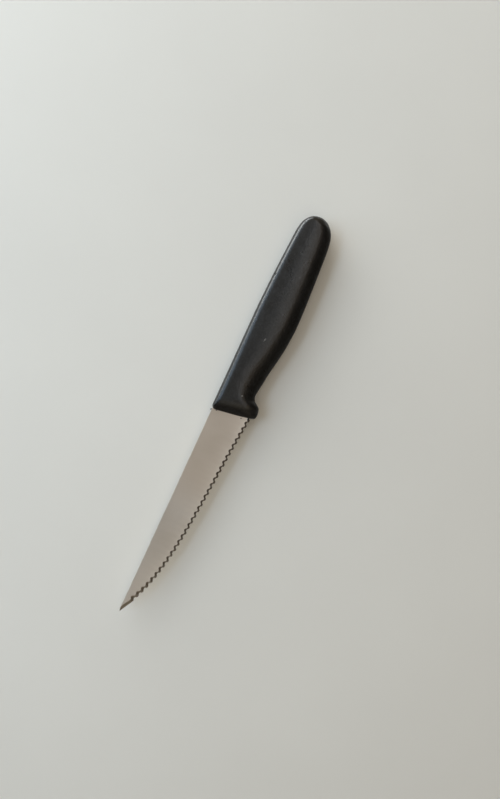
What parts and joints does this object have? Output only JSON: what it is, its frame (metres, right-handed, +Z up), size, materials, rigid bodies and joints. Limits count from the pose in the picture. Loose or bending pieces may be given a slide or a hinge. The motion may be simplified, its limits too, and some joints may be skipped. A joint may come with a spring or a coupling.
{
  "type": "serrated paring knife",
  "caption": "Small pointed serrated kitchen knife: straight-spined steel blade with a scalloped edge, set in a one-piece black moulded plastic handle with a finger guard.",
  "frame": {"origin": "centre of the bounding box at its bottom; the handle's lower flat lies on z = 0", "axes": "+X from the butt towards the blade tip, +Y from the spine towards the cutting edge, +Z up through the flat of the blade, towards the bevelled face"},
  "size_m": [0.2182, 0.0226, 0.011],
  "materials": {
    "blade_steel": "satin, fine grain, ground scallops",
    "handle_plastic": "fine spark-eroded mould texture, satin"
  },
  "bodies": {
    "root": {"blade": "blade_steel", "handle": "handle_plastic"}
  },
  "joints": []
}
